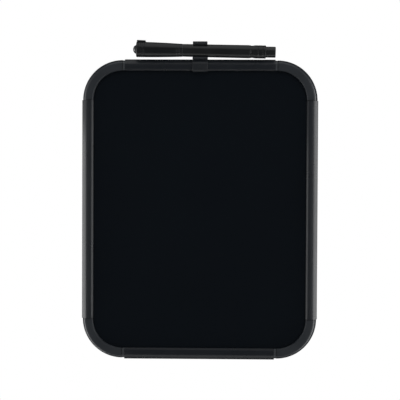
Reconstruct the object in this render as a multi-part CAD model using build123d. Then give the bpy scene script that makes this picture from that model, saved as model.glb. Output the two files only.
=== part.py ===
from build123d import *
from math import cos, radians, sin
import os

# Magnetic dry-erase board with a capped marker in a clip on its top rail.
# Sizes are in millimetres. +Z is up, -Y is the side that is written on, and +X is to the
# writer's right. The origin is the middle of the upper magnetic strip's rear face, which lies on
# the steel surface that the board clings to.

# Outline of the board
board_width = 220.0
board_height = 280.0
corner_radius = 37.6

# Panel, in layers
sheet_thick = 0.4
core_thick = 3.0
backing_thick = 0.4
panel_play = 0.3

# Magnetic strips, each on its foam tape
strip_length = 150.0
strip_width = 20.0
strip_thick = 2.0
strip_round = 1.5
strip_margin = 45.0
tape_thick = 0.8
tape_inset = 1.0

# Section of the extruded rails
rail_face = 10.6
side_wall = 1.2
hollow_width = 2.6
web_thick = 1.2
leg_thick = 1.0
leg_short = 1.0
front_rise = 4.0
slot_fit = 0.1
bevel_run = 4.3
bevel_drop = 4.2
bevel_bulge = 0.35
crown_rise = 0.25
lip_run = 1.3
lip_drop = 2.2
back_round = 0.8

# Moulded elbows
elbow_inset = 0.3
elbow_drop = 0.5
elbow_draft = 2.3
elbow_edge = 1.0
elbow_lip = 0.8
elbow_chamfer = 0.35
neck_across = 2.3
neck_upright = 0.5
neck_step = 0.2
tongue_length = 14.0
tongue_fit = 0.1
tongue_lead = 0.6
pocket_count = 4
pocket_wall = 1.5
pocket_rib = 1.2
pocket_roof = 2.6

# Marker clip: a saddle on the top rail and an open cradle above it
saddle_width = 14.1
cradle_width = 13.4
clip_fit = 0.15
clip_wall = 1.5
flap_reach = 11.7
back_reach = 8.0
hook_gap = 0.4
cradle_play = 0.3
cradle_wall = 2.3
arm_angle = 50.0
lip_angle = 59.0
tip_round = 0.8
wall_gap = 0.6

# Marker, measured along its axis from the joint between cap and barrel
marker_rise = 7.9
marker_shift = 16.35
marker_tilt = 1.05
barrel_length = 77.2
barrel_front_r = 5.85
barrel_tail_r = 6.05
barrel_bore_r = 4.8
edge_break = 0.4
waist_start = 61.4
waist_length = 6.4
waist_depth = 0.5
groove_width = 0.6
groove_depth = 0.2
groove_starts = (69.8, 74.2)

# Tail plug
plug_head_length = 9.1
plug_head_r = 5.05
plug_spigot_length = 8.0
plug_bore_r = 3.5
plug_bevel = 0.6
plug_dimple_r = 1.3
plug_dimple_depth = 1.2
plug_end_wall = 2.4
spigot_fit = 0.05

# Nib holder, nib and ink reservoir
seat_length = 9.0
seat_r = 5.05
holder_spigot_length = 8.0
nose_r = 3.6
nose_length = 8.3
nose_tip_r = 2.6
nose_shoulder = 0.9
nib_r = 1.9
nib_reach = 4.6
nib_plunge = 3.6
reservoir_r = 4.2
wrap_thick = 0.3
ink_fit = 0.05

# Cap
cap_length = 43.0
cap_mouth_r = 5.95
cap_end_r = 7.1
cap_bulge = 0.25
cap_fit = 0.1
cap_end_wall = 1.4
mouth_gap = 0.2
rib_zone = 7.9
rib_count = 4
rib_depth = 0.25
mouth_groove_starts = (2.6, 5.0)
lug_length = 8.6
lug_width = 5.0
lug_height = 1.55
lug_round = 0.5
liner_wall = 0.8
liner_fit = 0.05
liner_length = 16.5
liner_lip = 1.2
liner_start = 10.8
liner_step = 0.4

# Button in the cap's end
button_r = 3.9
button_rise = 3.1
button_rim = 0.8
button_spigot_r = 2.4
button_spigot_length = 3.2

# Worked out from the sizes above
strip_rise = board_height / 2 - strip_margin
panel_back = strip_thick + tape_thick
panel_thick = backing_thick + core_thick + sheet_thick
slot_floor = side_wall + hollow_width + web_thick
slot_front = leg_thick + panel_thick + 2 * slot_fit
rail_depth = slot_front + front_rise
rail_back = panel_back - slot_fit - leg_thick
cradle_r = barrel_tail_r + cradle_play
cradle_axis = wall_gap + cradle_wall + cradle_r - rail_back
cap_bore_r = seat_r + cap_fit
overrun = 3 * rail_face


def on_board(shape, turn, edge):
    """Places what is built on the top rail's outer edge at one side of the board."""
    middle = Pos(0, 0, -strip_rise)
    return middle * Rot(0, turn, 0) * Pos(0, -rail_back, edge) * shape


def box_face(u_low, u_high, v_low, v_high):
    """Rectangle in a section's plane between four limits."""
    rectangle = Rectangle(u_high - u_low, v_high - v_low)
    return Pos((u_low + u_high) / 2, (v_low + v_high) / 2) * rectangle


# A section is drawn with u running inwards from the rail's outer edge and v forwards from its
# back. This plane stands it across the top rail.
section_plane = Plane(origin=(0, 0, 0), x_dir=(0, 0, -1), z_dir=(-1, 0, 0))


def panel_slot():
    """Opening that grips the panel's edge, the same in rails and elbows."""
    return box_face(slot_floor, overrun, leg_thick, slot_front)


def rail_outline():
    """Outline of a rail: side wall, bulged bevel, low crown, inner lip and back leg."""
    side = Line((0, back_round), (0, rail_depth - bevel_drop))
    bevel_end = (bevel_run, rail_depth - crown_rise)
    crown_end = (rail_face - lip_run, rail_depth - crown_rise)
    bevel = SagittaArc(side @ 1, bevel_end, bevel_bulge)
    crown = SagittaArc(bevel_end, crown_end, crown_rise)
    inner = Polyline(
        crown_end,
        (rail_face, rail_depth - lip_drop),
        (rail_face, slot_front),
        (rail_face - leg_short, slot_front),
        (rail_face - leg_short, 0),
        (back_round, 0),
    )
    back = RadiusArc((back_round, 0), (0, back_round), back_round)
    return make_face([side, bevel, crown, *inner.edges(), back])


def rail_hollow():
    """Channel along the rail's outer side, which takes the elbow's tongue."""
    limit = side_wall + hollow_width
    return offset(rail_outline(), -side_wall) & box_face(0, limit, 0, rail_depth)


def rail(length):
    """Extruded rail, centred on its length."""
    section = rail_outline() - panel_slot() - rail_hollow()
    return extrude(section_plane * section, length / 2, both=True)


def elbow_outline():
    """Outline of an elbow: drafted outer wall, small rounded edge, flat face, inner lip."""
    top = rail_depth - elbow_drop
    crest = (elbow_inset + elbow_draft, top)
    outline = make_face(
        Polyline(
            (elbow_inset, back_round),
            crest,
            (rail_face - elbow_lip, top),
            (rail_face, top - elbow_lip),
            (rail_face, slot_front),
            (rail_face - leg_short, slot_front),
            (rail_face - leg_short, 0),
            (elbow_inset + back_round, 0),
            close=True,
        )
    )
    edge = outline.vertices().sort_by_distance(crest)[0]
    return fillet(edge, elbow_edge)


def elbow_pocket(sweep):
    """Coring pocket open at the back, between the outer wall and the slot's floor."""
    floor = rail_depth - elbow_drop - pocket_roof
    inner_side = slot_floor - web_thick
    face = box_face(elbow_inset + pocket_wall, inner_side, -1, floor)
    standing = Pos(0, 0, corner_radius) * (section_plane * face)
    return revolve(standing, Axis.Y, sweep)


def elbow_arm(neck_length):
    """Neck and tongue that lead from the elbow into a rail, towards -X."""
    neck_face = offset(elbow_outline(), -neck_step) - panel_slot()
    tongue_face = offset(rail_hollow(), -tongue_fit)
    neck = extrude(section_plane * neck_face, neck_length)
    tongue = extrude(section_plane * tongue_face, neck_length + tongue_length)
    tip = tongue.faces().sort_by(Axis.X)[0]
    sides = tip.edges().sort_by(SortBy.LENGTH)[-2:]
    return neck + chamfer(sides, tongue_lead)


def elbow(first_neck, second_neck):
    """Moulded elbow about its corner's centre, from the top rail round to the right rail."""
    section = elbow_outline() - panel_slot()
    lifted = Pos(0, 0, corner_radius)
    turn = revolve(lifted * (section_plane * section), Axis.Y, 90)
    outside = []
    for edge in turn.faces().sort_by(Axis.X)[0].edges():
        inwards = corner_radius - edge.center().Z
        forwards = -edge.center().Y
        if forwards > slot_front + elbow_lip or inwards < slot_floor / 2:
            outside.append(edge)
    turn = chamfer(outside, elbow_chamfer)
    diagonal = Plane(origin=(0, 0, 0), z_dir=(1, 0, -1))
    other_arm = mirror(lifted * elbow_arm(second_neck), about=diagonal)
    body = turn + lifted * elbow_arm(first_neck) + other_arm
    sweep = 90 / pocket_count
    rib_turn = sweep * pocket_rib / (radians(sweep) * corner_radius)
    pocket = elbow_pocket(sweep - rib_turn)
    for index in range(pocket_count):
        body = body - Rot(0, rib_turn / 2 + index * sweep, 0) * pocket
    return body


def elbow_at(shape, turn, across, up):
    """Places an elbow at a corner of the board."""
    centre = Pos(across, -rail_back, up - strip_rise)
    return centre * Rot(0, turn, 0) * shape


def panel_layer(back, thick):
    """One layer of the panel, rounded to follow the bottom of the frame's slot."""
    inset = slot_floor + panel_play
    outline = RectangleRounded(
        board_width - 2 * inset,
        board_height - 2 * inset,
        corner_radius - inset,
    )
    plane = Plane(origin=(0, -back, -strip_rise), x_dir=(1, 0, 0), z_dir=(0, -1, 0))
    return extrude(plane * outline, thick)


def strip(height, back, thick, inset):
    """Magnetic strip, or the tape behind it, at a height over the origin."""
    outline = RectangleRounded(
        strip_length - 2 * inset, strip_width - 2 * inset, strip_round
    )
    plane = Plane(origin=(0, -back, height), x_dir=(1, 0, 0), z_dir=(0, -1, 0))
    return extrude(plane * outline, thick)


def open_ring():
    """Cradle's section about its own axis: a ring with its mouth towards the front."""
    outer = cradle_r + cradle_wall
    far = 4 * outer
    arm = radians(arm_angle)
    lip = radians(lip_angle)
    mouth = Polyline(
        (0, 0),
        (-far * sin(arm), far * cos(arm)),
        (far * sin(lip), far * cos(lip)),
        close=True,
    )
    ring = Circle(outer) - Circle(cradle_r) - make_face(mouth)
    tips = [v for v in ring.vertices() if v.Y > cradle_r * cos(lip) / 2]
    return fillet(tips, tip_round)


def clip():
    """Saddle that follows the rail's outline at a small clearance, and the open cradle."""
    clearance = offset(rail_outline(), clip_fit)
    skin = offset(rail_outline(), clip_fit + clip_wall) - clearance
    rear = wall_gap - rail_back
    split = slot_front + hook_gap
    flap = box_face(-overrun, flap_reach, split, overrun)
    back_leg = box_face(-overrun, back_reach, rear, split)
    saddle = (skin & flap) + (skin & back_leg)
    axis = Pos(-marker_rise, cradle_axis)
    spine = box_face(-marker_rise, 0, rear, cradle_axis) - axis * Circle(cradle_r)
    cradle = axis * open_ring() + spine - clearance
    wide = extrude(section_plane * saddle, saddle_width / 2, both=True)
    narrow = extrude(section_plane * cradle, cradle_width / 2, both=True)
    return on_board(wide + narrow, 0, board_height / 2)


def in_cradle(shape):
    """Places a piece built about the marker's axis, with the cap's joint at its origin."""
    axis = Pos(0, -cradle_axis, marker_rise) * Rot(0, marker_tilt, 0)
    return on_board(axis * Pos(-marker_shift, 0, 0) * shape, 0, board_height / 2)


def turned(*points):
    """Round piece from the points of its half section, each an x along the axis and a radius."""
    return revolve(make_face(Polyline(*points, close=True)), Axis.X)


def barrel():
    """Slightly swelling tube with a shallow waist and two grooves near its tail."""
    points = [
        (0, barrel_bore_r),
        (0, barrel_front_r - edge_break),
        (edge_break, barrel_front_r),
        (waist_start, barrel_tail_r),
        (waist_start + waist_length / 4, barrel_tail_r - waist_depth),
        (waist_start + waist_length * 3 / 4, barrel_tail_r - waist_depth),
        (waist_start + waist_length, barrel_tail_r),
    ]
    for start in groove_starts:
        points += [
            (start, barrel_tail_r),
            (start + groove_width / 2, barrel_tail_r - groove_depth),
            (start + groove_width, barrel_tail_r),
        ]
    points += [
        (barrel_length - edge_break, barrel_tail_r),
        (barrel_length, barrel_tail_r - edge_break),
        (barrel_length, barrel_bore_r),
    ]
    return turned(*points)


def end_plug():
    """Plug with a spigot in the barrel and a bevelled head that a cap can be pushed onto."""
    spigot_r = barrel_bore_r - spigot_fit
    end = barrel_length + plug_head_length
    return turned(
        (end - plug_dimple_depth, 0),
        (end, plug_dimple_r),
        (end, plug_head_r - plug_bevel),
        (end - plug_bevel, plug_head_r),
        (barrel_length, plug_head_r),
        (barrel_length, spigot_r),
        (barrel_length - plug_spigot_length, spigot_r),
        (barrel_length - plug_spigot_length, plug_bore_r),
        (end - plug_end_wall, plug_bore_r),
        (end - plug_end_wall, 0),
    )


def nib_holder():
    """Front section: spigot in the barrel, seat for the cap, and the nose round the nib."""
    bore = nib_r + ink_fit
    nose_start = -seat_length - nose_shoulder
    return turned(
        (holder_spigot_length, bore),
        (holder_spigot_length, barrel_bore_r - spigot_fit),
        (0, barrel_bore_r - spigot_fit),
        (0, seat_r),
        (-seat_length, seat_r),
        (nose_start, nose_r),
        (nose_start - nose_length / 2, nose_r),
        (nose_start - nose_length, nose_tip_r),
        (nose_start - nose_length, bore),
    )


def nib():
    """Bullet nib, from its rounded tip to the end that is plunged in the reservoir."""
    tip = -seat_length - nose_shoulder - nose_length - nib_reach
    rear = holder_spigot_length + nib_plunge
    profile = [
        RadiusArc((tip, 0), (tip + nib_r, nib_r), nib_r),
        *Polyline((tip + nib_r, nib_r), (rear, nib_r), (rear, 0), (tip, 0)).edges(),
    ]
    return revolve(make_face(profile), Axis.X)


def reservoir():
    """Fibre rod between the nib holder and the tail plug, with a hole for the nib."""
    front = holder_spigot_length + ink_fit
    rear = barrel_length - plug_spigot_length - ink_fit
    hole_end = holder_spigot_length + nib_plunge + ink_fit
    return turned(
        (front, nib_r + ink_fit),
        (front, reservoir_r),
        (rear, reservoir_r),
        (rear, 0),
        (hole_end, 0),
        (hole_end, nib_r + ink_fit),
    )


def wrap():
    """Film sleeve round the reservoir."""
    front = holder_spigot_length + ink_fit
    rear = barrel_length - plug_spigot_length - ink_fit
    inner = reservoir_r + ink_fit
    outer = inner + wrap_thick
    return turned((front, inner), (front, outer), (rear, outer), (rear, inner))


def cap_r(back):
    """Cap's outer radius at a distance back from the joint: a flare with a slight bulge."""
    share = back / cap_length
    flare = (cap_end_r - cap_mouth_r) * share
    return cap_mouth_r + flare + 4 * cap_bulge * share * (1 - share)


def cap_groove(start, width, depth):
    """Three points of a ring groove, starting at a distance back from the joint."""
    return [
        (-start, cap_r(start)),
        (-start - width / 2, cap_r(start + width / 2) - depth),
        (-start - width, cap_r(start + width)),
    ]


def cap():
    """Flaring cap: grooves at its mouth, ring ribs and a lug at its closed end."""
    mouth = [
        (-mouth_gap, cap_bore_r),
        (-mouth_gap, cap_r(mouth_gap) - edge_break),
        (-mouth_gap - edge_break, cap_r(mouth_gap + edge_break)),
    ]
    for start in mouth_groove_starts:
        mouth += cap_groove(start, groove_width, groove_depth)
    middle = (cap_length - rib_zone) / 2
    end = [(-middle, cap_r(middle))]
    pitch = (rib_zone - edge_break) / rib_count
    for index in range(rib_count):
        start = cap_length - rib_zone + index * pitch
        end += cap_groove(start, pitch, rib_depth)[:2]
    step = -liner_start - liner_length
    end += [
        (edge_break - cap_length, cap_r(cap_length - edge_break)),
        (-cap_length, cap_r(cap_length) - edge_break),
        (-cap_length, button_spigot_r + spigot_fit),
        (cap_end_wall - cap_length, button_spigot_r + spigot_fit),
        (cap_end_wall - cap_length, cap_bore_r - liner_step),
        (step, cap_bore_r - liner_step),
        (step, cap_bore_r),
    ]
    return turned(*mouth, *end) + lug()


def lug():
    """Small lug on the upper side of the cap's closed end, which stops the marker rolling."""
    start = cap_length - edge_break
    end = cap_length - lug_length
    root = cap_mouth_r - edge_break
    side = Polyline(
        (-start, root),
        (-start, cap_r(start) + lug_height),
        (-end, cap_r(end) + lug_height),
        (-end, root),
        close=True,
    )
    block = extrude(Plane.XZ * make_face(side), lug_width / 2, both=True)
    crest = block.faces().sort_by(Axis.Z)[-1]
    return fillet(crest.edges(), lug_round)


def liner():
    """Inner seal cup, whose lip closes round the nose when the cap is on."""
    outer = cap_bore_r - liner_fit
    mouth = -liner_start
    floor = -liner_start - liner_length
    return turned(
        (mouth, nose_r + cap_fit),
        (mouth, outer),
        (floor, outer),
        (floor, 0),
        (floor + liner_wall, 0),
        (floor + liner_wall, outer - liner_wall),
        (mouth - liner_lip, outer - liner_wall),
        (mouth - liner_lip, nose_r + cap_fit),
    )


def end_button():
    """Domed button, with a spigot in the hole of the cap's end wall."""
    base = -cap_length
    rim = base - button_rim
    tip = base - button_rise
    rise = button_rise - button_rim
    dome_r = (button_r ** 2 + rise ** 2) / (2 * rise)
    inner = button_spigot_length - cap_length
    profile = [
        RadiusArc((tip, 0), (rim, button_r), dome_r),
        *Polyline(
            (rim, button_r),
            (base, button_r),
            (base, button_spigot_r),
            (inner, button_spigot_r),
            (inner, 0),
            (tip, 0),
        ).edges(),
    ]
    return revolve(make_face(profile), Axis.X)


parts = {
    "backing_sheet": panel_layer(panel_back, backing_thick),
    "core_board": panel_layer(panel_back + backing_thick, core_thick),
    "writing_sheet": panel_layer(panel_back + backing_thick + core_thick, sheet_thick),
    "marker_clip": clip(),
    "marker_barrel": in_cradle(barrel()),
    "barrel_end_plug": in_cradle(end_plug()),
    "nib_holder": in_cradle(nib_holder()),
    "nib": in_cradle(nib()),
    "ink_reservoir": in_cradle(reservoir()),
    "reservoir_wrap": in_cradle(wrap()),
    "marker_cap": in_cradle(cap()),
    "cap_liner": in_cradle(liner()),
    "cap_end_button": in_cradle(end_button()),
}

# Four rails, two of each length, turned about the middle of the board
across = board_width / 2
up = board_height / 2
centre_x = across - corner_radius
centre_z = up - corner_radius
level_rail = rail(2 * (centre_x - neck_across))
upright_rail = rail(2 * (centre_z - neck_upright))
for name, shape, turn, edge in (
    ("top_rail", level_rail, 0, up),
    ("right_rail", upright_rail, 90, across),
    ("bottom_rail", level_rail, 180, up),
    ("left_rail", upright_rail, 270, across),
):
    parts[name] = on_board(shape, turn, edge)

# Four elbows, two of each hand. The necks that meet the top and bottom rails are the longer ones
right_hand = elbow(neck_across, neck_upright)
left_hand = elbow(neck_upright, neck_across)
for name, shape, turn, side, level in (
    ("corner_top_right", right_hand, 0, centre_x, centre_z),
    ("corner_bottom_right", left_hand, 90, centre_x, -centre_z),
    ("corner_bottom_left", right_hand, 180, -centre_x, -centre_z),
    ("corner_top_left", left_hand, 270, -centre_x, centre_z),
):
    parts[name] = elbow_at(shape, turn, side, level)

# Two magnetic strips, as far above and below the middle of the board
for name, height in (("upper", 0), ("lower", -2 * strip_rise)):
    parts[f"{name}_magnet_strip"] = strip(height, 0, strip_thick, 0)
    parts[f"{name}_foam_tape"] = strip(height, strip_thick, tape_thick, tape_inset)

os.makedirs("parts", exist_ok=True)
for name, shape in parts.items():
    export_step(shape, f"parts/{name}.step")
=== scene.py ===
from math import cos, degrees, radians, sin, tan
import bmesh
import bpy
from mathutils import Matrix, Vector
from mathutils.geometry import tessellate_polygon


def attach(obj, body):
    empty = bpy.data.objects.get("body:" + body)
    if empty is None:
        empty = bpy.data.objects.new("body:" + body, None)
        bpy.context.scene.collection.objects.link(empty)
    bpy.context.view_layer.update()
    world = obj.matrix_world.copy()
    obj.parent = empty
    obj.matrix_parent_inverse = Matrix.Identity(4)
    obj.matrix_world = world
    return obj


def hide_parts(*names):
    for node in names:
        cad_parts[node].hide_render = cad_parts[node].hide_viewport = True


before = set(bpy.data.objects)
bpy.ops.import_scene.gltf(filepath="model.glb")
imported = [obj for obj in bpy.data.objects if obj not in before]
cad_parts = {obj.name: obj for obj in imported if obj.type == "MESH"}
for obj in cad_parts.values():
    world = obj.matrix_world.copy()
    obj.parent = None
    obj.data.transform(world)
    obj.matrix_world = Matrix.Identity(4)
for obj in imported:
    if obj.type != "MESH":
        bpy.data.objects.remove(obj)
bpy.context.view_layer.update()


# The writing sheet is thin steel with black enamel fired on its front. The enamel is hard and
# glossy, with the faint ripple of a glaze that flowed, and dry wiping leaves soft marks on it that
# only show in its gloss. The frame grips its edge.
mm = 0.001


def linear(colour):
    """Linear colour, as shaders take it, from an sRGB hex colour."""
    channels = [int(colour[start:start + 2], 16) / 255 for start in (1, 3, 5)]
    bent = [((c + 0.055) / 1.055) ** 2.4 if c > 0.04045 else c / 12.92 for c in channels]
    return (*bent, 1)


def add_node(material, kind, inputs=None, **settings):
    """Adds a node with its settings. An input that is another node's output is linked."""
    node = material.node_tree.nodes.new(kind)
    for name, value in settings.items():
        setattr(node, name, value)
    for name, value in (inputs or {}).items():
        if isinstance(value, bpy.types.NodeSocket):
            material.node_tree.links.new(value, node.inputs[name])
        else:
            node.inputs[name].default_value = value
    return node


def new_material(name, **constants):
    """Material with an empty tree but for its shader, whose constant values are given."""
    material = bpy.data.materials.new(name)
    material.use_nodes = True
    material.node_tree.nodes.clear()
    values = {key.replace("_", " "): value for key, value in constants.items()}
    shader = add_node(material, "ShaderNodeBsdfPrincipled", values)
    add_node(material, "ShaderNodeOutputMaterial", {"Surface": shader.outputs["BSDF"]})
    return material, shader


def link(material, node, output, shader, name):
    """Links a node's output to one of the shader's inputs."""
    material.node_tree.links.new(node.outputs[output], shader.inputs[name])


def black_enamel():
    """Fired enamel: a deep black under a gloss that ripples at about 3 mm."""
    drift_size = 70 * mm
    wipe_width = 9 * mm
    wipe_stretch = 0.12
    wipe_turn = radians(28)
    ripple_size = 3 * mm
    ripple_depth = 0.02 * mm
    material, shader = new_material("black_enamel", IOR=1.5)
    place = add_node(material, "ShaderNodeTexCoord").outputs["Object"]
    tone = add_node(material, "ShaderNodeTexNoise", {"Vector": place, "Scale": 1 / drift_size})
    colour = add_node(
        material,
        "ShaderNodeMix",
        {"Factor": tone.outputs["Fac"], "A": linear("#090C10"), "B": linear("#0A0E12")},
        data_type="RGBA",
    )
    link(material, colour, "Result", shader, "Base Color")
    strokes = add_node(
        material,
        "ShaderNodeMapping",
        {"Vector": place, "Rotation": (0, wipe_turn, 0), "Scale": (wipe_stretch, 1, 1)},
    )
    wiping = add_node(
        material,
        "ShaderNodeTexNoise",
        {"Vector": strokes.outputs["Vector"], "Scale": 1 / wipe_width, "Detail": 5.0},
    )
    gloss = add_node(
        material,
        "ShaderNodeMapRange",
        {"Value": wiping.outputs["Fac"], "To Min": 0.07, "To Max": 0.15},
    )
    link(material, gloss, "Result", shader, "Roughness")
    ripple = add_node(
        material, "ShaderNodeTexNoise", {"Vector": place, "Scale": 1 / ripple_size}
    )
    bump = add_node(
        material,
        "ShaderNodeBump",
        {"Height": ripple.outputs["Fac"], "Strength": 0.12, "Distance": ripple_depth},
    )
    link(material, bump, "Normal", shader, "Normal")
    return material


def paint(piece, material):
    """Gives a piece one material all over."""
    piece.data.materials.clear()
    piece.data.materials.append(material)


paint(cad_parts["writing_sheet"], black_enamel())


# The core is raw hardboard, wood fibre pressed hot and hard. It stiffens the panel, and only its
# cut edge could be seen. Its fibres lie flat, so the colour is mottled along the board.
def fibre_sheet(name, dark, light, fibre_length, roughness):
    """Pressed fibre or paper: short fibres in two tones with a soft nap."""
    fibre_stretch = 0.35
    nap_depth = 0.06 * mm
    material, shader = new_material(name, Roughness=roughness)
    place = add_node(material, "ShaderNodeTexCoord").outputs["Object"]
    lay = add_node(
        material, "ShaderNodeMapping", {"Vector": place, "Scale": (1, 1, fibre_stretch)}
    )
    fibres = add_node(
        material,
        "ShaderNodeTexNoise",
        {"Vector": lay.outputs["Vector"], "Scale": 1 / fibre_length, "Detail": 8.0},
    )
    colour = add_node(
        material,
        "ShaderNodeMix",
        {"Factor": fibres.outputs["Fac"], "A": linear(dark), "B": linear(light)},
        data_type="RGBA",
    )
    link(material, colour, "Result", shader, "Base Color")
    bump = add_node(
        material,
        "ShaderNodeBump",
        {"Height": fibres.outputs["Fac"], "Strength": 0.5, "Distance": nap_depth},
    )
    link(material, bump, "Normal", shader, "Normal")
    return material


hardboard = fibre_sheet("hardboard", "#5B4630", "#8A6E4C", fibre_length=2 * mm, roughness=0.85)
paint(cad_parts["core_board"], hardboard)


# The back is a sheet of dark grey balancing paper, glued on so that the board stays flat. It is
# made as the core is, but of shorter fibres, and is a little smoother.
grey_paper = fibre_sheet(
    "balancing_paper", "#3F4142", "#4C4E4F", fibre_length=1.2 * mm, roughness=0.8
)
paint(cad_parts["backing_sheet"], grey_paper)


# The four rails are one extruded section of black plastic cut to two lengths: a side wall, a
# bulged bevel, a low crown and an inner lip that presses on the panel, with a slot that grips the
# panel and a channel for the corner's tongue. The die leaves fine lines along them.
board_width = 220.0
board_height = 280.0
board_middle = -95.0
corner_radius = 37.6
wall_gap = 1.7
neck_across = 2.3
neck_upright = 0.5
# In a section, u runs inwards from the board's edge and v forwards from the rail's back.
rail_width = 10.6
side_height = 4.8
bevel_width = 4.3
bevel_rise = 0.35
crown_end = 9.3
crown_height = 8.75
crown_rise = 0.25
lip_height = 6.8
leg_width = 9.6
slot_floor = 5.0
slot_back = 1.0
slot_front = 5.0
channel_near = 1.2
channel_far = 3.8
channel_back = 1.2
channel_side = 4.43
channel_top = 7.02
channel_rise = 0.22
rail_rim = 0.12


def bulge(start, end, rise, steps):
    """Points between two ends of a shallow arc that rises to its left."""
    start, end = Vector(start), Vector(end)
    chord = end - start
    left = Vector((-chord.y, chord.x)).normalized()
    shares = [step / steps for step in range(steps + 1)]
    return [tuple(start + chord * s + left * (4 * rise * s * (1 - s))) for s in shares]


def rounded(corners, steps=4):
    """Outline from corners with a radius each. A corner with no radius is one point."""
    outline = []
    for index, (u, v, radius) in enumerate(corners):
        corner = Vector((u, v))
        if not radius:
            outline.append((u, v))
            continue
        before = (Vector(corners[index - 1][:2]) - corner).normalized()
        after = (Vector(corners[(index + 1) % len(corners)][:2]) - corner).normalized()
        half = before.angle(after) / 2
        reach = radius / tan(half)
        centre = corner + (before + after).normalized() * (radius / sin(half))
        first = corner + before * reach - centre
        last = corner + after * reach - centre
        for step in range(steps + 1):
            outline.append(tuple(centre + first.slerp(last, step / steps) * radius))
    return outline


def inset(outline, amount):
    """Outline drawn in, or let out where the amount is negative, by the same all round."""
    points = [Vector(point) for point in outline]
    pairs = list(zip(points, points[1:] + points[:1]))
    anticlockwise = sum(a.x * b.y - b.x * a.y for a, b in pairs) > 0
    sides = []
    for a, b in pairs:
        along = (b - a).normalized()
        sides.append(Vector((-along.y, along.x)) * (1 if anticlockwise else -1))
    moved = []
    for index, point in enumerate(points):
        one, two = sides[index - 1], sides[index]
        moved.append(tuple(point + (one + two) * (amount / (1 + one.dot(two)))))
    return moved


def rim(radius, steps=3):
    """Steps of a rounded rim: how far along each is, and how far drawn in."""
    turns = [radians(90 * step / steps) for step in range(steps + 1)]
    return [(radius * (1 - cos(t)), radius * (1 - sin(t))) for t in turns]


def mesh_piece(name, points, faces, crisp=30):
    """Object from points in millimetres. Edges bent more than the crisp angle stay sharp."""
    mesh = bpy.data.meshes.new(name)
    mesh.from_pydata([Vector(point) * mm for point in points], [], faces)
    work = bmesh.new()
    work.from_mesh(mesh)
    bmesh.ops.remove_doubles(work, verts=work.verts, dist=1e-3 * mm)
    bmesh.ops.recalc_face_normals(work, faces=work.faces)
    work.to_mesh(mesh)
    work.free()
    mesh.shade_smooth()
    mesh.set_sharp_from_angle(angle=radians(crisp))
    piece = bpy.data.objects.new(name, mesh)
    bpy.context.scene.collection.objects.link(piece)
    return piece


def rimmed(outline, radius, start, end, place):
    """Stations of a bar from its start to its end, each with a rounded rim."""
    steps = rim(radius)
    stations = [(inset(outline, drawn), place(start + on)) for on, drawn in steps]
    return stations + [(inset(outline, drawn), place(end - on)) for on, drawn in reversed(steps)]


def swept(name, stations, holes=(), crisp=30):
    """Closed solid through stations. Each is an outline and a function that places its points."""
    points = []
    rings = []
    for outline, place in stations:
        ring = []
        for loop in (outline, *holes):
            ring.append(range(len(points), len(points) + len(loop)))
            points += [place(u, v) for u, v in loop]
        rings.append(ring)
    faces = []
    for old_ring, new_ring in zip(rings, rings[1:]):
        for old, new in zip(old_ring, new_ring):
            for a in range(len(new)):
                b = (a + 1) % len(new)
                faces.append((old[a], old[b], new[b], new[a]))
    for ring, (outline, place) in ((rings[0], stations[0]), (rings[-1], stations[-1])):
        flat = [[Vector((u, v, 0)) for u, v in loop] for loop in (outline, *holes)]
        ids = [index for loop in ring for index in loop]
        faces += [tuple(ids[k] for k in face) for face in tessellate_polygon(flat)]
    return mesh_piece(name, points, faces, crisp)


def across(x):
    """Places a section's points at one x along a rail that lies on the top edge."""
    return lambda u, v: (x, -v, -u)


def at_edge(piece, turn, edge):
    """Moves a piece built on a level edge to its side of the board."""
    middle = Matrix.Translation(Vector((0, -wall_gap, board_middle)) * mm)
    lift = Matrix.Translation(Vector((0, 0, edge)) * mm)
    piece.matrix_world = middle @ Matrix.Rotation(radians(turn), 4, "Y") @ lift


def rail_front():
    """Outer part of the rail's section, from its back corner over the front to the lip."""
    bevel = bulge((0, side_height), (bevel_width, crown_height), bevel_rise, 12)
    crown = bulge((bevel_width, crown_height), (crown_end, crown_height), crown_rise, 8)
    return [
        (0, 0, 0.8),
        *[(u, v, 0) for u, v in bevel[:-1] + crown[:-1]],
        (crown_end, crown_height, 0.3),
        (rail_width, lip_height, 0.3),
    ]


def rail_section():
    """Whole outline of the rail, with its slot."""
    return rounded(
        [
            *rail_front(),
            (rail_width, slot_front, 0.15),
            (slot_floor, slot_front, 0),
            (slot_floor, slot_back, 0),
            (leg_width, slot_back, 0.15),
            (leg_width, 0, 0.2),
        ]
    )


def tongue_channel(play):
    """Channel along the rail, or the tongue that slides into it with some play."""
    slope = bulge((channel_near, channel_side), (channel_far, channel_top), channel_rise, 5)
    return inset([(channel_near, channel_back), *slope, (channel_far, channel_back)], play)


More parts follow.
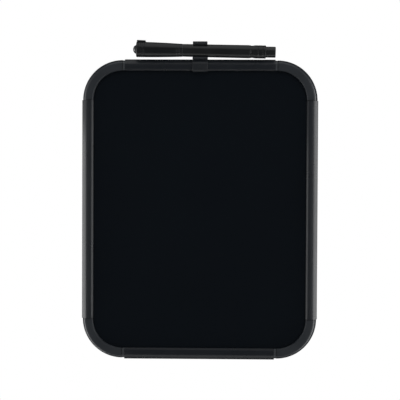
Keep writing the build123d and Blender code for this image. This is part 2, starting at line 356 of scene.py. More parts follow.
def extruded_plastic():
    """Extruded vinyl: satin black, drawn finely by the die, so its gloss spreads across it. The
    die's lines are drawn at 0.5 mm, coarser than the real ones, so that they show."""
    line_width = 0.5 * mm
    line_depth = 0.03 * mm
    line_stretch = 0.004
    cloud_size = 22 * mm
    material, shader = new_material(
        "extruded_vinyl", IOR=1.52, Anisotropic=0.9, Anisotropic_Rotation=0.25
    )
    place = add_node(material, "ShaderNodeTexCoord").outputs["Object"]
    along = add_node(
        material, "ShaderNodeMapping", {"Vector": place, "Scale": (line_stretch, 1, 1)}
    )
    lines = add_node(
        material,
        "ShaderNodeTexNoise",
        {"Vector": along.outputs["Vector"], "Scale": 1 / line_width, "Detail": 4.0},
    )
    clouds = add_node(
        material, "ShaderNodeTexNoise", {"Vector": place, "Scale": 1 / cloud_size, "Detail": 4.0}
    )
    colour = add_node(
        material,
        "ShaderNodeMix",
        {"Factor": clouds.outputs["Fac"], "A": linear("#111418"), "B": linear("#181B1F")},
        data_type="RGBA",
    )
    link(material, colour, "Result", shader, "Base Color")
    gloss = add_node(
        material,
        "ShaderNodeMapRange",
        {"Value": clouds.outputs["Fac"], "To Min": 0.25, "To Max": 0.31},
    )
    link(material, gloss, "Result", shader, "Roughness")
    die_line = add_node(
        material,
        "ShaderNodeVectorTransform",
        {"Vector": (1, 0, 0)},
        vector_type="VECTOR",
        convert_from="OBJECT",
        convert_to="WORLD",
    )
    link(material, die_line, "Vector", shader, "Tangent")
    bump = add_node(
        material,
        "ShaderNodeBump",
        {"Height": lines.outputs["Fac"], "Strength": 0.35, "Distance": line_depth},
    )
    link(material, bump, "Normal", shader, "Normal")
    return material


rail_plastic = extruded_plastic()
half_width = board_width / 2
half_height = board_height / 2
centre_x = half_width - corner_radius
centre_z = half_height - corner_radius
for name, turn, edge, end in (
    ("top_rail", 0, half_height, centre_x - neck_across),
    ("right_rail", 90, half_width, centre_z - neck_upright),
    ("bottom_rail", 180, half_height, centre_x - neck_across),
    ("left_rail", 270, half_width, centre_z - neck_upright),
):
    stations = rimmed(rail_section(), rail_rim, -end, end, across)
    rail = swept(f"{name}_extrusion", stations, [tongue_channel(0)])
    at_edge(rail, turn, edge)
    paint(rail, rail_plastic)
    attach(rail, "board")
    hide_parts(name)


# The four corners are elbows moulded in black styrene, two of each hand. The outer wall is drafted
# so that it leaves the mould, the face is flat, and pockets core it from behind. A neck and a
# tongue at each end plug into the rails. The spark-eroded mould leaves a fine even grain.
elbow_height = 8.5
elbow_inset = 0.3
elbow_foot = 0.8
draft_top = 2.6
edge_round = 2.3
face_end = 10.05
elbow_lip = 7.3
back_start = 1.1
neck_step = 0.2
tongue_reach = 14.0
tongue_play = 0.1
tongue_taper = 0.55
pocket_near = 1.8
pocket_far = 3.8
pocket_depth = 5.9
pocket_turns = (3.2, 19.3)


def elbow_section(draw=0):
    """Outline of the elbow, drawn in or not: drafted wall, rounded edge, flat face, lip, slot."""
    corners = [
        (elbow_inset, elbow_foot, 0.3),
        (draft_top, elbow_height, edge_round),
        (face_end, elbow_height, 0.4),
        (rail_width, elbow_lip, 0.3),
        (rail_width, slot_front, 0.15),
        (slot_floor, slot_front, 0),
        (slot_floor, slot_back, 0),
        (leg_width, slot_back, 0.15),
        (leg_width, 0, 0.2),
        (back_start, 0, 0.3),
    ]
    drawn = inset([(u, v) for u, v, radius in corners], draw)
    return rounded([(*spot, corner[2]) for spot, corner in zip(drawn, corners)], steps=5)


def around(angle):
    """Places a section's points at an angle round the corner's centre, from the top."""
    turn = radians(angle)
    return lambda u, v: ((corner_radius - u) * sin(turn), -v, (corner_radius - u) * cos(turn))


def ahead(x):
    """Places a section's points on the straight that leads out of the corner."""
    return lambda u, v: (x, -v, corner_radius - u)


def below(z):
    """Places a section's points on the straight that leads down from the corner."""
    return lambda u, v: (corner_radius - u, -v, z)


def combined(piece, others, operation, crisp=30):
    """Adds other closed solids to a piece, or cuts them from it. They are then removed."""
    for other in others:
        change = piece.modifiers.new(other.name, "BOOLEAN")
        change.operation = operation
        change.solver = "EXACT"
        change.material_mode = "TRANSFER"
        change.object = other
    bpy.context.view_layer.update()
    whole = piece.evaluated_get(bpy.context.evaluated_depsgraph_get())
    mesh = bpy.data.meshes.new_from_object(whole)
    piece.modifiers.clear()
    piece.data = mesh
    mesh.shade_smooth()
    mesh.set_sharp_from_angle(angle=radians(crisp))
    for other in others:
        bpy.data.objects.remove(other)


def elbow_tongue(neck_length, straight):
    """Tongue that leads out of an elbow's neck into a rail, with a tapered end."""
    root = -0.3
    end = -neck_length - tongue_reach
    taper_length = 0.8
    full = tongue_channel(tongue_play)
    return swept(
        "tongue",
        [
            (full, straight(root)),
            (full, straight(end + taper_length)),
            (tongue_channel(tongue_taper), straight(end)),
        ],
    )


def elbow_solid(first_neck, second_neck):
    """One elbow about its corner's centre, from the top rail round to the right rail."""
    soft = rim(neck_step)
    neck = elbow_section(neck_step)
    per_mm = degrees(1 / corner_radius)
    stations = [(neck, ahead(-first_neck))]
    stations += [(elbow_section(draw), around(on * per_mm)) for on, draw in soft]
    stations += [(elbow_section(), around(turn)) for turn in range(3, 90, 3)]
    stations += [(elbow_section(draw), around(90 - on * per_mm)) for on, draw in reversed(soft)]
    stations.append((neck, below(-second_neck)))
    body = swept("elbow", stations)
    tongues = [elbow_tongue(first_neck, ahead), elbow_tongue(second_neck, below)]
    combined(body, tongues, "UNION")
    pockets = []
    hollow = rounded(
        [
            (pocket_near, -1, 0),
            (pocket_far, -1, 0),
            (pocket_far, pocket_depth, 0.4),
            (pocket_near, pocket_depth, 0.4),
        ]
    )
    for quarter in range(4):
        low, high = (22.5 * quarter + turn for turn in pocket_turns)
        span = [low + (high - low) * step / 8 for step in range(9)]
        pockets.append(swept("pocket", [(hollow, around(turn)) for turn in span]))
    combined(body, pockets, "DIFFERENCE")
    return body


def moulded_plastic(name, dark, light, roughness, grain, depth):
    """Moulded plastic: faint flow clouds in the colour and gloss, and the fine grain of the
    mould, drawn coarser than the real one so that it shows."""
    cloud_size = 17 * mm
    gloss_spread = 0.05
    material, shader = new_material(name, IOR=1.5)
    place = add_node(material, "ShaderNodeTexCoord").outputs["Object"]
    clouds = add_node(
        material, "ShaderNodeTexNoise", {"Vector": place, "Scale": 1 / cloud_size, "Detail": 3.0}
    )
    colour = add_node(
        material,
        "ShaderNodeMix",
        {"Factor": clouds.outputs["Fac"], "A": linear(dark), "B": linear(light)},
        data_type="RGBA",
    )
    link(material, colour, "Result", shader, "Base Color")
    gloss = add_node(
        material,
        "ShaderNodeMapRange",
        {
            "Value": clouds.outputs["Fac"],
            "To Min": roughness - gloss_spread,
            "To Max": roughness + gloss_spread,
        },
    )
    link(material, gloss, "Result", shader, "Roughness")
    pits = add_node(
        material, "ShaderNodeTexNoise", {"Vector": place, "Scale": 1 / grain, "Detail": 2.0}
    )
    bump = add_node(
        material,
        "ShaderNodeBump",
        {"Height": pits.outputs["Fac"], "Strength": 0.3, "Distance": depth},
    )
    link(material, bump, "Normal", shader, "Normal")
    return material


def paint_neck_shade_and_highlight(material):
    """Painted shade darkens the root of each neck, where the joint's shadow line falls, and beyond
    it a painted highlight makes the neck pale, as its shoulder catching the light. Both follow how
    far a point lies beyond the end of the quarter turn."""
    shader = material.node_tree.nodes["Principled BSDF"]
    face = shader.inputs["Base Color"].links[0].from_socket
    place = add_node(material, "ShaderNodeTexCoord").outputs["Object"]
    sides = add_node(material, "ShaderNodeSeparateXYZ", {"Vector": place})
    out = add_node(
        material,
        "ShaderNodeMath",
        {0: sides.outputs["X"], 1: sides.outputs["Z"]},
        operation="MINIMUM",
    )
    # Painted shade at each neck's root, then a painted highlight beyond it.
    for near, far, colour in ((0, -0.05, "#0A0B0C"), (-0.55, -0.65, "#303336")):
        share = add_node(
            material,
            "ShaderNodeMapRange",
            {"Value": out.outputs[0], "From Min": near * mm, "From Max": far * mm},
        )
        mixed = add_node(
            material,
            "ShaderNodeMix",
            {"Factor": share.outputs["Result"], "A": face, "B": linear(colour)},
            data_type="RGBA",
        )
        face = mixed.outputs["Result"]
    link(material, mixed, "Result", shader, "Base Color")


# Styrene off a grained mould is softly matt and a little greyer than the rails.
elbow_plastic = moulded_plastic(
    "grained_styrene", "#1D2023", "#272A2E", roughness=0.3, grain=0.5 * mm, depth=0.02 * mm
)
# The necks get painted shade at their roots and a painted highlight beyond them.
paint_neck_shade_and_highlight(elbow_plastic)
right_hand = elbow_solid(neck_across, neck_upright)
left_hand = elbow_solid(neck_upright, neck_across)
for master in (right_hand, left_hand):
    paint(master, elbow_plastic)
for name, master, turn, side, level in (
    ("corner_top_right", right_hand, 0, centre_x, centre_z),
    ("corner_bottom_right", left_hand, 90, centre_x, -centre_z),
    ("corner_bottom_left", right_hand, 180, -centre_x, -centre_z),
    ("corner_top_left", left_hand, 270, -centre_x, centre_z),
):
    corner = bpy.data.objects.new(f"{name}_moulding", master.data)
    bpy.context.scene.collection.objects.link(corner)
    place = Matrix.Translation(Vector((side, -wall_gap, board_middle + level)) * mm)
    corner.matrix_world = place @ Matrix.Rotation(radians(turn), 4, "Y")
    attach(corner, "board")
    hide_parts(name)
for master in (right_hand, left_hand):
    bpy.data.objects.remove(master)


# Two flexible magnets hold the board on steel. Each is rubber filled with ferrite, rolled to a
# strip and cut off, dull brown-black with a dusty face. White foam tape fixes it to the paper.
strip_length = 150.0
strip_width = 20.0
strip_thick = 2.0
strip_rim = 0.25
strip_spacing = 190.0
tape_thick = 0.8
tape_margin = 1.0
tape_wander = 0.12
tape_rim = 0.15


def strip_outline(inwards, wander):
    """Outline of a strip: rounded corners, and edges that wander a little where wanted."""
    corner_round = 1.5
    spacing = 2.5
    half_length = strip_length / 2 - inwards
    half_strip = strip_width / 2 - inwards
    signs = ((-1, -1), (1, -1), (1, 1), (-1, 1))
    corners = [(a * half_length, b * half_strip, corner_round) for a, b in signs]
    outline = rounded(corners, steps=6)
    finer = []
    for a, b in zip(outline, outline[1:] + outline[:1]):
        a, b = Vector(a), Vector(b)
        parts = max(1, round((b - a).length / spacing))
        finer += [tuple(a.lerp(b, step / parts)) for step in range(parts)]
    wandering = []
    for k, (u, v) in enumerate(finer):
        pull = wander * (1 + sin(k * 1.7) * cos(k * 0.61))
        wandering.append((u - pull * ((u > 0) - (u < 0)), v - pull * ((v > 0) - (v < 0))))
    return wandering


def laid_on_wall(depth, height):
    """Places an upright outline at a depth in front of the wall and at a height."""
    return lambda u, v: (u, -depth, v + height)


def ferrite_rubber():
    """Rolled ferrite rubber: dull brown-black, dusted with grey specks. They are drawn at 0.8 mm,
    coarser than the real powder, so that they show."""
    speck_size = 0.8 * mm
    speck_depth = 0.05 * mm
    material, shader = new_material("ferrite_rubber", Roughness=0.75)
    place = add_node(material, "ShaderNodeTexCoord").outputs["Object"]
    specks = add_node(
        material, "ShaderNodeTexNoise", {"Vector": place, "Scale": 1 / speck_size, "Detail": 6.0}
    )
    colour = add_node(
        material,
        "ShaderNodeMix",
        {"Factor": specks.outputs["Fac"], "A": linear("#1C1917"), "B": linear("#3A3632")},
        data_type="RGBA",
    )
    link(material, colour, "Result", shader, "Base Color")
    bump = add_node(
        material,
        "ShaderNodeBump",
        {"Height": specks.outputs["Fac"], "Strength": 0.4, "Distance": speck_depth},
    )
    link(material, bump, "Normal", shader, "Normal")
    return material


def white_foam():
    """Closed-cell foam: off-white, with cells of about 0.5 mm cut open at the edges."""
    cell_size = 0.5 * mm
    cell_depth = 0.15 * mm
    material, shader = new_material("white_foam", Roughness=0.9)
    place = add_node(material, "ShaderNodeTexCoord").outputs["Object"]
    cells = add_node(
        material, "ShaderNodeTexVoronoi", {"Vector": place, "Scale": 1 / cell_size}
    )
    colour = add_node(
        material,
        "ShaderNodeMix",
        {"Factor": cells.outputs["Distance"], "A": linear("#C9C7BF"), "B": linear("#EFEDE6")},
        data_type="RGBA",
    )
    link(material, colour, "Result", shader, "Base Color")
    bump = add_node(
        material,
        "ShaderNodeBump",
        {"Height": cells.outputs["Distance"], "Strength": 0.6, "Distance": cell_depth},
    )
    link(material, bump, "Normal", shader, "Normal")
    return material


rubber = ferrite_rubber()
foam = white_foam()
for name, height in (
    ("upper", board_middle + strip_spacing / 2),
    ("lower", board_middle - strip_spacing / 2),
):
    stations = rimmed(
        strip_outline(0, 0), strip_rim, 0, strip_thick, lambda depth: laid_on_wall(depth, height)
    )
    magnet = swept(f"{name}_magnet", stations)
    paint(magnet, rubber)
    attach(magnet, "board")
    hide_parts(f"{name}_magnet_strip")
    outline = strip_outline(tape_margin, tape_wander)
    layers = []
    for step, drawn in enumerate((tape_rim, 0, 0, tape_rim)):
        depth = strip_thick + tape_thick * step / 3
        layers.append((inset(outline, drawn), laid_on_wall(depth, height)))
    tape = swept(f"{name}_tape", layers)
    paint(tape, foam)
    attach(tape, "board")
    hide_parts(f"{name}_foam_tape")


# The clip is one moulding of satin black plastic. Below, it is a saddle that snaps over the rail
# and slides along it. Above, it is an open cradle for the marker, with a long upper arm and a
# short lower lip. It stands against the wall with its flat spine.
saddle_half = 7.05
saddle_gap = 0.15
saddle_wall = 1.5
hook_end = 5.4
hook_width = 11.7
hook_height = 8.05
throat = (0.73, 8.18)
leg_end = 8.0
cradle_half = 6.7
cradle_centre = (-7.9, 7.55)
cradle_inner = 6.35
cradle_outer = 8.65
lip_turn = 31
arm_turn = -220
tip_round = 0.7
spine_back = -1.1
clip_rim = 0.25


def arc(centre, radius, start, end, steps):
    """Points of an arc in a section, from one angle to another in degrees."""
    turns = [radians(start + (end - start) * step / steps) for step in range(steps + 1)]
    return [(centre[0] + radius * cos(t), centre[1] + radius * sin(t)) for t in turns]


def rail_skin(gap):
    """Line that follows the rail's front at a gap, from its back corner to its lip."""
    outline = rounded([*rail_front(), (rail_width, 0, 0)])
    return inset(outline, -gap)[:-1]


def on_cradle(radius, turn):
    """Point of the cradle's section at a radius and an angle in degrees."""
    return arc(cradle_centre, radius, turn, turn, 1)[0]


def clip_section():
    """Outline of the clip: hook, saddle, lower lip, cradle, arm, spine and back leg."""
    # The arcs stop short of the rounded tips by a few degrees.
    short_outer, short_inner = 6, 8
    skin_foot, skin_end = 8.6, 11.5
    skin = rail_skin(saddle_gap + saddle_wall)
    lip = arc(cradle_centre, cradle_outer, 8, lip_turn - short_outer, 5)
    seat = arc(cradle_centre, cradle_inner, lip_turn - short_inner, arm_turn + short_inner, 48)
    back = arc(cradle_centre, cradle_outer, arm_turn + short_outer, -90, 28)
    return rounded(
        [
            (rail_width + saddle_gap, hook_end, 0.3),
            (hook_width, hook_end, 0.3),
            (hook_width, hook_height, 0.4),
            *[(u, v, 0) for u, v in reversed(skin) if u < skin_end and v > skin_foot],
            (*throat, 0.15),
            *[(u, v, 0) for u, v in lip],
            (*on_cradle(cradle_outer, lip_turn), tip_round),
            (*on_cradle(cradle_inner, lip_turn), tip_round),
            *[(u, v, 0) for u, v in seat],
            (*on_cradle(cradle_inner, arm_turn), tip_round),
            (*on_cradle(cradle_outer, arm_turn), tip_round),
            *[(u, v, 0) for u, v in back],
            (leg_end, spine_back, 0.3),
            (leg_end, -saddle_gap, 0.3),
            *[(u, v, 0) for u, v in rail_skin(saddle_gap)],
        ]
    )


def clip_half(u):
    """Half the clip's width. It widens a little from the cradle to the saddle."""
    widening_start = -2.2
    widening_length = 0.8
    share = min(1, max(0, (u - widening_start) / widening_length))
    return cradle_half + (saddle_half - cradle_half) * share


def clip_side(side, on):
    """Places the clip's section near one of its sides."""
    return lambda u, v: (side * (clip_half(u) - on), -v, -u)


outline = clip_section()
soft = rim(clip_rim)
stations = [(inset(outline, drawn), clip_side(-1, on)) for on, drawn in soft]
stations += [(inset(outline, drawn), clip_side(1, on)) for on, drawn in reversed(soft)]
clip = swept("clip_moulding", stations)
at_edge(clip, 0, half_height)
# Polypropylene is waxy, so its satin black has a soft, wide shine.
clip_plastic = moulded_plastic(
    "satin_polypropylene", "#131619", "#1B1E22", roughness=0.34, grain=0.7 * mm, depth=0.02 * mm
)
paint(clip, clip_plastic)
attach(clip, "clip")
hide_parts("marker_clip")


# The marker's barrel is a long moulded tube of satin black plastic, a little thicker towards its
# tail, with a shallow waist and two fine grooves there. The tail plug is pressed in and has a
# dished head that the cap can be pushed onto.
marker_axis = Vector((0, -9.25, 52.9))
marker_tilt = 1.05
marker_shift = -16.35
# Along the marker, x is 0 at the barrel's mouth and runs to its tail, so the cap lies below 0.
barrel_length = 77.2
barrel_front_r = 5.85
barrel_tail_r = 6.05
barrel_bore_r = 4.8
waist_start = 61.4
waist_length = 6.4
waist_depth = 0.44
groove_places = (69.8, 74.2)
groove_width = 0.6
groove_depth = 0.15
press_fit_r = 4.75
plug_head_r = 5.05
plug_length = 9.1
plug_insert = 8.0
plug_hollow_r = 3.5
plug_dish = 1.2
plug_dish_r = 1.3
plug_wall = 2.4


def turned(name, profile, steps=112, crisp=30):
    """Round solid from a closed profile of x and radius, in millimetres."""
    points = []
    faces = []
    count = len(profile)
    for step in range(steps):
        turn = radians(360 * step / steps)
        points += [(x, r * sin(turn), r * cos(turn)) for x, r in profile]
        here = step * count
        there = (step + 1) % steps * count
        for a in range(count):
            b = (a + 1) % count
            if max(profile[a][1], profile[b][1]) > 1e-6:
                faces.append((here + a, here + b, there + b, there + a))
    return mesh_piece(name, points, faces, crisp)


def in_cradle(piece, body, material, node):
    """Lays a piece that was built about the marker's axis in the clip, and sets what it is."""
    lift = Matrix.Translation(marker_axis * mm)
    lean = Matrix.Rotation(radians(marker_tilt), 4, "Y")
    piece.matrix_world = lift @ lean @ Matrix.Translation(Vector((marker_shift, 0, 0)) * mm)
    paint(piece, material)
    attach(piece, body)
    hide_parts(node)


barrel_profile = [(0, barrel_bore_r, 0.1), (0, barrel_front_r, 0.1)]
for step in range(13):
    narrowing = waist_depth / 2 * (1 - cos(radians(30 * step)))
    spot = waist_start + waist_length * step / 12
    barrel_profile.append((spot, barrel_tail_r - narrowing, 0))
for groove in groove_places:
    barrel_profile += [
        (groove, barrel_tail_r, 0.1),
        (groove + groove_width / 2, barrel_tail_r - groove_depth, 0.1),
        (groove + groove_width, barrel_tail_r, 0.1),
    ]
barrel_profile += [(barrel_length, barrel_tail_r, 0.35), (barrel_length, barrel_bore_r, 0.1)]
# The barrel's mould is smoother than the clip's, so its shine is a little narrower.
barrel_plastic = moulded_plastic(
    "satin_barrel_polypropylene",
    "#0D0F10",
    "#141617",
    roughness=0.3,
    grain=0.9 * mm,
    depth=0.015 * mm,
)
barrel = turned("barrel_tube", rounded(barrel_profile))
in_cradle(barrel, "marker", barrel_plastic, "marker_barrel")

plug_end = barrel_length + plug_length
plug_profile = [
    (plug_end - plug_dish, 0, 0),
    (plug_end, plug_dish_r, 0.3),
    (plug_end, plug_head_r, 0.65),
    (barrel_length, plug_head_r, 0),
    (barrel_length, press_fit_r, 0),
    (barrel_length - plug_insert, press_fit_r, 0.3),
    (barrel_length - plug_insert, plug_hollow_r, 0.2),
    (plug_end - plug_wall, plug_hollow_r, 0.3),
    (plug_end - plug_wall, 0, 0),
]
# The plug comes from a polished mould and is glossier than the barrel.
plug_plastic = moulded_plastic(
    "gloss_polypropylene", "#151617", "#1B1D1E", roughness=0.2, grain=1.2 * mm, depth=0.01 * mm
)
plug = turned("tail_plug", rounded(plug_profile))
in_cradle(plug, "marker", plug_plastic, "barrel_end_plug")


# The nib holder is grey plastic pressed into the barrel's front. Its collar is the cap's seat and
# its nose grips the nib, a bullet of bonded fibre soaked in black ink.
nib_hole_r = 1.95
nib_r = 1.9
nib_tip = -22.8
nib_tail = 11.6
spigot_end = 8.0
seat_r = 5.05
seat_end = -9.0
seat_groove_r = 4.95
seat_groove = (-2.6, -2.9, -3.6, -3.9)
shoulder = 0.9
nose_r = 3.6
nose_taper = -14.05
nose_end = -18.2
nose_end_r = 2.6
holder_profile = [
    (spigot_end, nib_hole_r, 0.1),
    (spigot_end, press_fit_r, 0.4),
    (0, press_fit_r, 0),
    (0, seat_r, 0.1),
    (seat_groove[0], seat_r, 0.1),
    (seat_groove[1], seat_groove_r, 0.1),
    (seat_groove[2], seat_groove_r, 0.1),
    (seat_groove[3], seat_r, 0.1),
    (seat_end, seat_r, 0.35),
    (seat_end - shoulder, nose_r, 0.3),
    (nose_taper, nose_r, 0.6),
    (nose_end, nose_end_r, 0.4),
    (nose_end, nib_hole_r, 0.1),
]
# Pigment makes this polypropylene a flat mid grey, duller than the black pieces.
holder_plastic = moulded_plastic(
    "grey_polypropylene", "#7B7C7E", "#88898B", roughness=0.4, grain=0.8 * mm, depth=0.015 * mm
)
holder = turned("nib_holder_moulding", rounded(holder_profile))
in_cradle(holder, "marker", holder_plastic, "nib_holder")

nib_profile = [
    *[(x, r, 0) for x, r in arc((nib_tip + nib_r, 0), nib_r, 180, 96, 10)],
    (nib_tail, nib_r, 0.2),
    (nib_tail, 0, 0),
]


def inked_fibre(name, dark, light, strand):
    """Bonded fibre full of ink: matt, near black, with strands along it."""
    strand_stretch = 0.15
    strand_depth = 0.08 * mm
    material, shader = new_material(name, Roughness=0.7)
    place = add_node(material, "ShaderNodeTexCoord").outputs["Object"]
    along = add_node(
        material, "ShaderNodeMapping", {"Vector": place, "Scale": (strand_stretch, 1, 1)}
    )
    strands = add_node(
        material,
        "ShaderNodeTexNoise",
        {"Vector": along.outputs["Vector"], "Scale": 1 / strand, "Detail": 4.0},
    )
    colour = add_node(
        material,
        "ShaderNodeMix",
        {"Factor": strands.outputs["Fac"], "A": linear(dark), "B": linear(light)},
        data_type="RGBA",
    )
    link(material, colour, "Result", shader, "Base Color")
    bump = add_node(
        material,
        "ShaderNodeBump",
        {"Height": strands.outputs["Fac"], "Strength": 0.6, "Distance": strand_depth},
    )
    link(material, bump, "Normal", shader, "Normal")
    return material


felt = inked_fibre("inked_nib_fibre", "#101012", "#26262B", strand=0.35 * mm)
nib = turned("bullet_nib", rounded(nib_profile), steps=64)
in_cradle(nib, "marker", felt, "nib")


# Inside the barrel lies the reservoir, a rod of soft fibre soaked with ink, in a sleeve of thin
# film. Neither shows unless the marker is taken apart, so the frame's own solids stay.
wadding = inked_fibre("inked_wadding", "#141416", "#2E2E34", strand=0.5 * mm)
paint(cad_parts["ink_reservoir"], wadding)
# Blown film is milky, with a low sheen.
film = moulded_plastic(
    "milky_film", "#C9CAC6", "#DADBD8", roughness=0.35, grain=1.5 * mm, depth=0.01 * mm
)
paint(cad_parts["reservoir_wrap"], film)


# The cap is satin black plastic, flared towards its closed end, with fine grooves at its mouth,
# ring ribs to grip and a small lug that stops the marker rolling. A glossy domed button is
# pressed into its end wall, and a soft seal cup inside closes round the nose.
cap_length = 43.0
cap_mouth = -0.2
cap_mouth_r = 5.95
cap_flare = 1.15
cap_bore_r = 5.15
cap_step = -27.3
cap_step_r = 4.75
cap_wall = 1.4
button_hole_r = 2.45
mouth_grooves = (2.6, 5.0)
mouth_groove_width = 0.6
mouth_groove_depth = 0.12
rib_start = 35.1
rib_pitch = 1.875
rib_count = 4
rib_gap = 0.45
rib_depth = 0.3
lug_front = -34.4
lug_back = -42.6
lug_foot = 5.5
lug_rise = 1.5
lug_half = 2.5
lug_rim = 0.5


def cap_radius(back):
    """Cap's outer radius at a distance back from its mouth: a flare with a slight bulge."""
    share = back / cap_length
    return cap_mouth_r + cap_flare * share + share * (1 - share)


def ring_groove(start, width, depth):
    """Corners of a fine groove round the cap."""
    return [
        (-start, cap_radius(start), 0.08),
        (-start - width / 2, cap_radius(start + width / 2) - depth, 0.08),
        (-start - width, cap_radius(start + width), 0.08),
    ]


cap_profile = [(cap_mouth, cap_bore_r, 0.12), (cap_mouth, cap_radius(0), 0.1)]
for groove in mouth_grooves:
    cap_profile += ring_groove(groove, mouth_groove_width, mouth_groove_depth)
flare_start = mouth_grooves[-1] + mouth_groove_width
for step in range(1, 12):
    back = flare_start + (rib_start - flare_start) * step / 12
    cap_profile.append((-back, cap_radius(back), 0))
for rib in range(rib_count):
    cap_profile += ring_groove(rib_start + rib * rib_pitch, rib_gap, rib_depth)
cap_profile += [
    (-cap_length, cap_radius(cap_length), 0.8),
    (-cap_length, button_hole_r, 0.1),
    (-cap_length + cap_wall, button_hole_r, 0),
    (-cap_length + cap_wall, cap_step_r, 0.4),
    (cap_step, cap_step_r, 0),
    (cap_step, cap_bore_r, 0),
]
cap = turned("cap_moulding", rounded(cap_profile))
lug_top = cap_radius(cap_length) + lug_rise
lug_side = rounded(
    [
        (lug_back, lug_foot, 0),
        (lug_back, lug_top, 0.5),
        (lug_front, lug_top - 0.2, 0.6),
        (lug_front, lug_foot, 0),
    ]
)


def beside(y):
    """Places a side view of the lug at a distance beside the cap's middle."""
    return lambda x, z: (x, y, z)


lug = swept("lug", rimmed(lug_side, lug_rim, -lug_half, lug_half, beside))
combined(cap, [lug], "UNION")
# The cap's plastic is the barrel's, a shade darker.
cap_plastic = moulded_plastic(
    "satin_cap_polypropylene",
    "#0C0E0F",
    "#131516",
    roughness=0.3,
    grain=0.9 * mm,
    depth=0.015 * mm,
)
in_cradle(cap, "cap", cap_plastic, "marker_cap")

dome_middle = -41.64
dome_r = 4.457
dome_foot = -43.8
button_r = 3.9
stem_r = 2.4
stem_end = -39.8
button_profile = [
    *[(x, r, 0) for x, r in arc((dome_middle, 0), dome_r, 180, 121, 14)],
    (dome_foot, button_r, 0.2),
    (-cap_length, button_r, 0),
    (-cap_length, stem_r, 0),
    (stem_end, stem_r, 0.3),
    (stem_end, 0, 0),
]
# Acetal takes a high gloss, so the dome shows small bright lights.
button_plastic = moulded_plastic(
    "gloss_acetal", "#141516", "#1A1B1D", roughness=0.12, grain=1.5 * mm, depth=0.008 * mm
)
button = turned("end_button", rounded(button_profile))
in_cradle(button, "cap", button_plastic, "cap_end_button")

# Polyethylene without pigment is milky and dull.
seal = moulded_plastic(
    "natural_polyethylene", "#C4C3BC", "#D2D1CA", roughness=0.45, grain=0.9 * mm, depth=0.015 * mm
)
paint(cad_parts["cap_liner"], seal)


# The studio: a pale table below the board, a tall softbox on each side, a weaker one above, a
# faint strip to either side of the camera and a soft box over it. The room is white, but a drum
# of dark cloth round the board, open to the left and right, shows in its gloss.
aim = Vector((0.0004, -0.009, -0.0858))
camera_far = 1.1
camera_side = 1.2
camera_high = 1.5
camera_roll = 0.25
frame_width = 0.3728


def look(thing, spot, roll=0):
    """Turns a lamp or camera to face a spot, with a roll about its own axis."""
    away = (thing.location - spot).normalized()
    turn = away.to_track_quat("Z", "Y").to_matrix().to_4x4()
    thing.matrix_world = (
        Matrix.Translation(thing.location) @ turn @ Matrix.Rotation(radians(roll), 4, "Z")
    )


lens = bpy.data.cameras.new("camera")
lens.lens = lens.sensor_width * camera_far / frame_width
camera = bpy.data.objects.new("camera", lens)
bpy.context.scene.collection.objects.link(camera)
level = camera_far * cos(radians(camera_high))
camera.location = aim + Vector(
    (
        level * sin(radians(camera_side)),
        -level * cos(radians(camera_side)),
        camera_far * sin(radians(camera_high)),
    )
)
look(camera, aim, camera_roll)
bpy.context.scene.camera = camera

for name, place, size, watts in (
    ("left_softbox", (-0.95, 0.05, -0.55), (0.75, 1.6), 10.4),
    ("right_softbox", (0.95, -0.03, -0.4), (0.65, 1.7), 9.8),
    ("top_softbox", (0.0, -0.25, 0.95), (1.2, 1.3), 2.9),
    ("left_strip", (-0.7, -1.1, -0.1), (0.4, 1.3), 1.8),
    ("right_strip", (0.7, -1.1, -0.1), (0.4, 1.3), 3.6),
    ("front_softbox", (0.0, -1.5, 1.3), (1.4, 0.8), 12),
):
    lamp = bpy.data.lights.new(name, "AREA")
    lamp.shape = "RECTANGLE"
    lamp.size, lamp.size_y = size
    lamp.energy = watts
    box = bpy.data.objects.new(name, lamp)
    bpy.context.scene.collection.objects.link(box)
    box.location = place
    look(box, Vector((0, place[1], aim.z)) if place[0] else aim)
bpy.data.objects["front_softbox"].visible_glossy = False


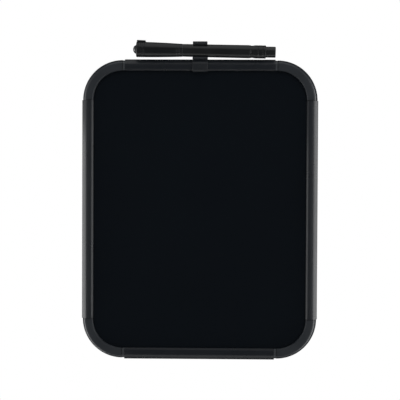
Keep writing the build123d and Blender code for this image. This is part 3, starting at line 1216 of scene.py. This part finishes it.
def white_room():
    """White wherever it is seen straight or in gloss, and a plain level for all else."""
    world = bpy.data.worlds.new("white_room")
    world.use_nodes = True
    world.node_tree.nodes.clear()
    path = add_node(world, "ShaderNodeLightPath")
    seen = add_node(
        world,
        "ShaderNodeMath",
        {0: path.outputs["Is Camera Ray"], 1: path.outputs["Is Glossy Ray"]},
        operation="MAXIMUM",
    )
    shown = add_node(
        world,
        "ShaderNodeMath",
        {0: seen.outputs[0], 1: path.outputs["Is Transmission Ray"]},
        operation="MAXIMUM",
    )
    strength = add_node(
        world,
        "ShaderNodeMapRange",
        {"Value": shown.outputs[0], "To Min": 0.75, "To Max": 1.0},
    )
    sky = add_node(
        world,
        "ShaderNodeBackground",
        {"Color": linear("#FFFFFF"), "Strength": strength.outputs["Result"]},
    )
    add_node(world, "ShaderNodeOutputWorld", {"Surface": sky.outputs["Background"]})
    return world


bpy.context.scene.world = white_room()

table_top = -900
table_thick = 12
table_half = 500
table_front = -420
table_rear = 20
table_round = 30
table_edge = rounded(
    [
        (-table_half, table_front, table_round),
        (table_half, table_front, table_round),
        (table_half, table_rear, table_round),
        (-table_half, table_rear, table_round),
    ]
)


def at_height(height):
    """Places a level outline at a height."""
    return lambda x, y: (x, y, height)


levels = (table_top - table_thick, table_top)
table = swept("table", [(table_edge, at_height(height)) for height in levels])
# Matt paint gives the table no reflections of its own.
table_paint, _ = new_material("pale_table", Base_Color=linear("#CFCFCD"), Roughness=0.6)
paint(table, table_paint)

tunnel_r = 1900
tunnel_wall = 10
tunnel_half = 2600
outside = arc((0, 0), tunnel_r, 0, 354, 59)
inside = arc((0, 0), tunnel_r - tunnel_wall, 0, 354, 59)
ends = (-tunnel_half, tunnel_half)
tunnel = swept("dark_tunnel", [(outside, across(x)) for x in ends], [inside])
# Black cloth is matt and gives the gloss a dark room to show.
tunnel_cloth, _ = new_material("black_cloth", Base_Color=linear("#0A0A0A"), Roughness=1.0)
paint(tunnel, tunnel_cloth)
tunnel.visible_camera = False
tunnel.visible_diffuse = False
tunnel.visible_transmission = False
tunnel.visible_shadow = False

bpy.context.scene.view_settings.view_transform = "Standard"
